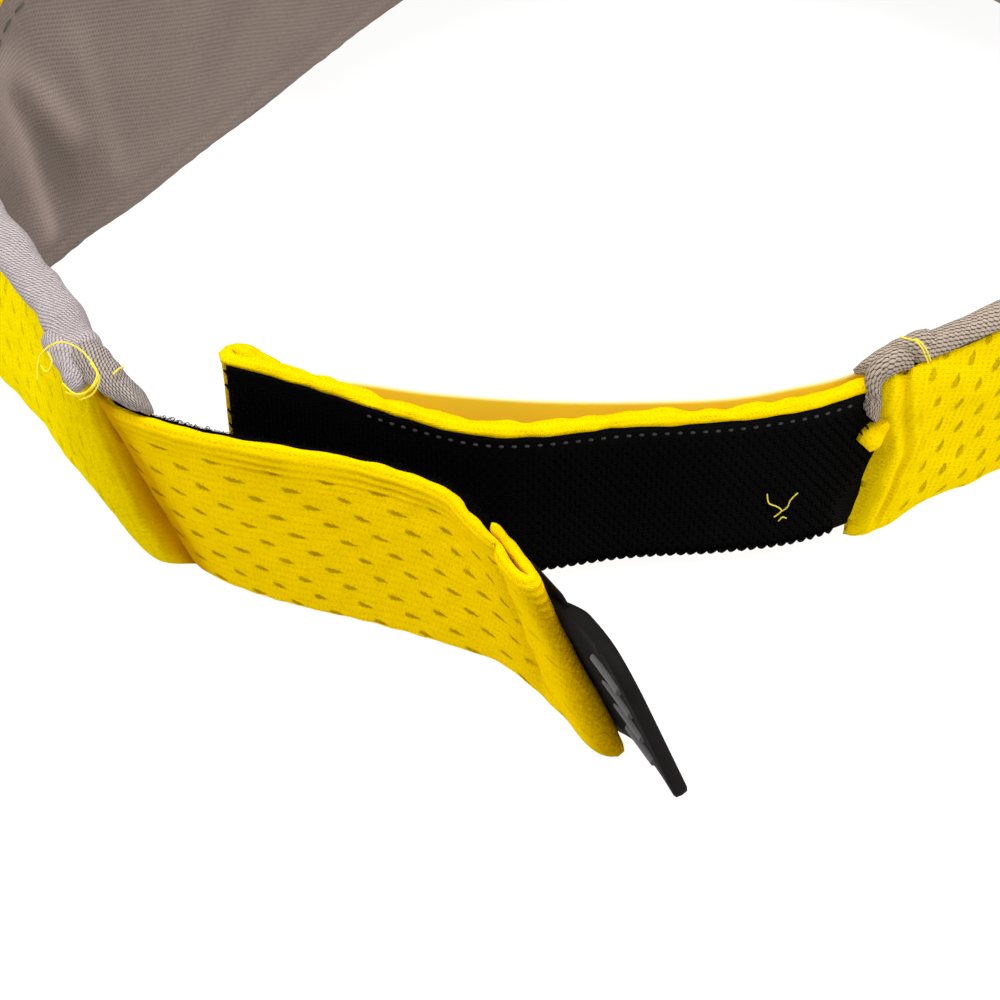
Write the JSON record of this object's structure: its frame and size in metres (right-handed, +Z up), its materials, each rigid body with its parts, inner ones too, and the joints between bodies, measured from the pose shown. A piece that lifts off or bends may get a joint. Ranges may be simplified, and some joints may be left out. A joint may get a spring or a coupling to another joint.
{
  "type": "sun visor",
  "caption": "Sports sun visor lying open: curved brim, padded mesh headband with knit lining, and a rear hook-and-loop closure with a peeling tab and rubber pull.",
  "frame": {"origin": "in the middle of the head opening, on the table", "axes": "+Z up, +Y towards the brim, +X to the wearer's right"},
  "size_m": [0.2038, 0.2601, 0.076],
  "materials": {
    "yellow_mesh": "matte perforated sports mesh",
    "brim_cloth": "matte woven cloth",
    "grey_knit": "matte fine-ribbed knit",
    "light_knit": "matte twill knit",
    "foam": "matte foam sheet",
    "loop_tape": "fuzzy loop pile",
    "hook_tape": "woven nylon with hooks",
    "amber_lining": "smooth satin cloth",
    "rubber": "matte moulded rubber",
    "grip": "matte moulded rubber",
    "board": "flexible sheet"
  },
  "bodies": {
    "front": {"brim_board": "board", "brim_top_cover": "brim_cloth", "brim_under_cover": "grey_knit", "front_panel_shell": "yellow_mesh", "front_panel_interlining": "foam", "front_panel_lining": "grey_knit"},
    "left_strap": {"left_strap_shell": "yellow_mesh", "left_strap_padding": "foam", "left_strap_lining": "light_knit", "tab_shell_root": "yellow_mesh", "loop_tape_root": "loop_tape"},
    "tab": {"tab_shell_end": "yellow_mesh", "loop_tape_end": "loop_tape", "pull_tab_flange": "rubber"},
    "pull": {"pull_tab": "rubber", "pull_tab_ribs": "grip"},
    "right_strap": {"right_strap_shell": "yellow_mesh", "right_strap_padding": "foam", "right_strap_lining": "light_knit", "hook_strap_tongue": "yellow_mesh"},
    "hook_strap": {"hook_strap_shell": "yellow_mesh", "hook_tape": "hook_tape", "hook_strap_lining": "amber_lining"}
  },
  "joints": [
    {"name": "left_strap_swing", "type": "hinge", "parent": "front", "child": "left_strap", "pos_m": [-0.092, -0.003, 0.015], "axis": [0, 0, -1], "range_deg": [0, 45]},
    {"name": "tab_peel", "type": "hinge", "parent": "left_strap", "child": "tab", "pos_m": [-0.0155, -0.074, 0.0139], "axis": [0, 0, -1], "range_deg": [-40, 50]},
    {"name": "pull_tab_flex", "type": "hinge", "parent": "tab", "child": "pull", "pos_m": [0.0083, -0.0927, 0.0019], "axis": [-0.3624, 0.0604, 0.9301], "range_deg": [-18, 25], "stiffness_Nm_per_rad": 0.004},
    {"name": "right_strap_swing", "type": "hinge", "parent": "front", "child": "right_strap", "pos_m": [0.104, -0.0085, 0.015], "axis": [0, 0, -1], "range_deg": [0, 15]},
    {"name": "hook_strap_flex", "type": "hinge", "parent": "right_strap", "child": "hook_strap", "pos_m": [0.0379, -0.0549, 0.015], "axis": [0, 0, -1], "range_deg": [0, 20]}
  ]
}
